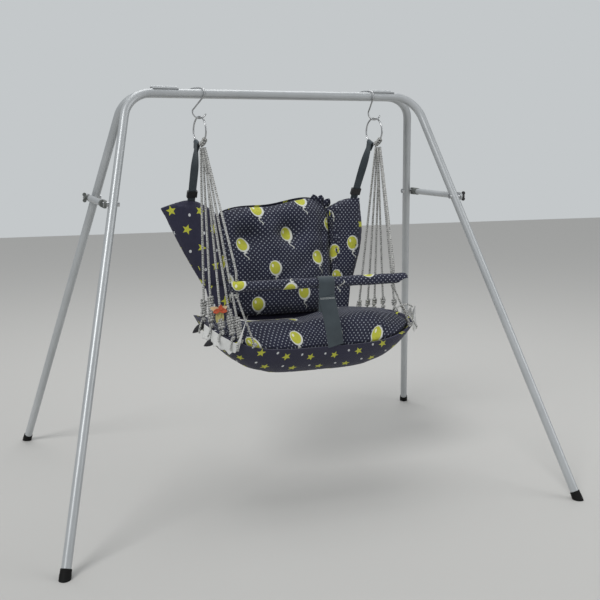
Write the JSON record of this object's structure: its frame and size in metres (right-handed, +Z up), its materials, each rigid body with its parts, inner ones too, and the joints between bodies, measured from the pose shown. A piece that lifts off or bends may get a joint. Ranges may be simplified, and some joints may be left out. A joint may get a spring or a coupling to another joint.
{
  "type": "indoor swing frame",
  "caption": "Folding tube swing stand with splayed legs, locking side spreaders and a padded child seat hung on hooks, rings and ropes, with a front bar.",
  "frame": {"origin": "on the floor under the middle of the top bars", "axes": "+X to the right along the top bars, -Y to the front of the seat, +Z up"},
  "size_m": [1.5372, 1.1996, 1.2215],
  "materials": {
    "frame_paint": "satin silver",
    "rubber": "matte black",
    "black_plastic": "matte black",
    "steel": "bright",
    "rope": "braided silver grey",
    "webbing": "woven slate grey",
    "dot_fabric": "printed cotton",
    "star_fabric": "printed cotton",
    "white_cloth": "soft white",
    "wood": "plain"
  },
  "bodies": {
    "rear_frame": {"rear_frame_tube": "frame_paint", "foot_rear_left": "rubber", "foot_rear_right": "rubber", "hinge_leaf_rear_left": "frame_paint", "hinge_leaf_rear_right": "frame_paint", "hinge_pin_left": "steel", "hinge_pin_right": "steel", "pivot_bolt_right": "steel", "lock_stud_left": "steel"},
    "front_frame": {"front_frame_tube": "frame_paint", "foot_front_left": "rubber", "foot_front_right": "rubber", "hinge_leaf_front_left": "frame_paint", "hinge_leaf_front_right": "frame_paint", "pivot_bolt_left": "steel", "lock_stud_right": "steel"},
    "spreader_left": {"spreader_tube_left": "frame_paint", "spreader_end_left": "black_plastic"},
    "spreader_right": {"spreader_tube_right": "frame_paint", "spreader_end_right": "black_plastic"},
    "nut_left": {"wing_nut_left": "black_plastic"},
    "nut_right": {"wing_nut_right": "black_plastic"},
    "hooks": {"s_hook_left": "steel", "s_hook_right": "steel"},
    "front_bar": {"front_bar_rod": "wood", "front_bar_pad": "dot_fabric", "crotch_loop": "webbing"},
    "swing_seat": {"ring_left": "steel", "ring_right": "steel", "rope_hitch_left": "rope", "rope_hitch_right": "rope", "rope_left_1": "rope", "rope_left_2": "rope", "rope_left_3": "rope", "rope_left_4": "rope", "rope_left_5": "rope", "rope_right_1": "rope", "rope_right_2": "rope", "rope_right_3": "rope", "rope_right_4": "rope", "rope_right_5": "rope", "bar_rope_left": "rope", "bar_rope_right": "rope", "corner_tie_left": "rope", "corner_tie_right": "rope", "rope_knots_left": "rope", "rope_knots_right": "rope", "back_strap_left": "webbing", "back_strap_right": "webbing", "strap_keeper_left": "black_plastic", "strap_keeper_right": "black_plastic", "seat_sling": "star_fabric", "seat_cushion": "dot_fabric", "back_cushion": "dot_fabric", "back_shell": "star_fabric", "wing_left": "star_fabric", "wing_right": "dot_fabric", "crotch_tail": "webbing", "corner_cloth_left": "white_cloth", "corner_cloth_right": "white_cloth"}
  },
  "joints": [
    {"name": "frame_fold", "type": "hinge", "parent": "rear_frame", "child": "front_frame", "pos_m": [0, 0, 1.216], "axis": [1, 0, 0], "range_deg": [0, 48]},
    {"name": "spreader_left_lift", "type": "hinge", "parent": "front_frame", "child": "spreader_left", "pos_m": [-0.5604, -0.16823, 0.888], "axis": [1, 0, 0], "range_deg": [0, 65]},
    {"name": "spreader_right_lift", "type": "hinge", "parent": "rear_frame", "child": "spreader_right", "pos_m": [0.5604, 0.16823, 0.888], "axis": [-1, 0, 0], "range_deg": [0, 65]},
    {"name": "wing_nut_left_turn", "type": "hinge", "parent": "rear_frame", "child": "nut_left", "pos_m": [-0.5604, 0.16823, 0.888], "axis": [-1, 0, 0], "continuous": true},
    {"name": "wing_nut_right_turn", "type": "hinge", "parent": "front_frame", "child": "nut_right", "pos_m": [0.5604, -0.16823, 0.888], "axis": [1, 0, 0], "continuous": true},
    {"name": "hooks_slide", "type": "slide", "parent": "rear_frame", "child": "hooks", "axis": [1, 0, 0], "range_m": [-0.04, 0]},
    {"name": "seat_swing", "type": "hinge", "parent": "hooks", "child": "swing_seat", "pos_m": [0.045, 0, 1.128], "axis": [1, 0, 0], "range_deg": [-30, 30]},
    {"name": "front_bar_lift", "type": "slide", "parent": "swing_seat", "child": "front_bar", "axis": [0, 0.5669, 0.8238], "range_m": [0, 0.12], "deforming": ["bar_rope_left", "bar_rope_right"]}
  ],
  "couplings": [
    {"joint": "spreader_left_lift", "follows": "frame_fold", "ratio": 1.354},
    {"joint": "spreader_right_lift", "follows": "frame_fold", "ratio": 1.354}
  ]
}
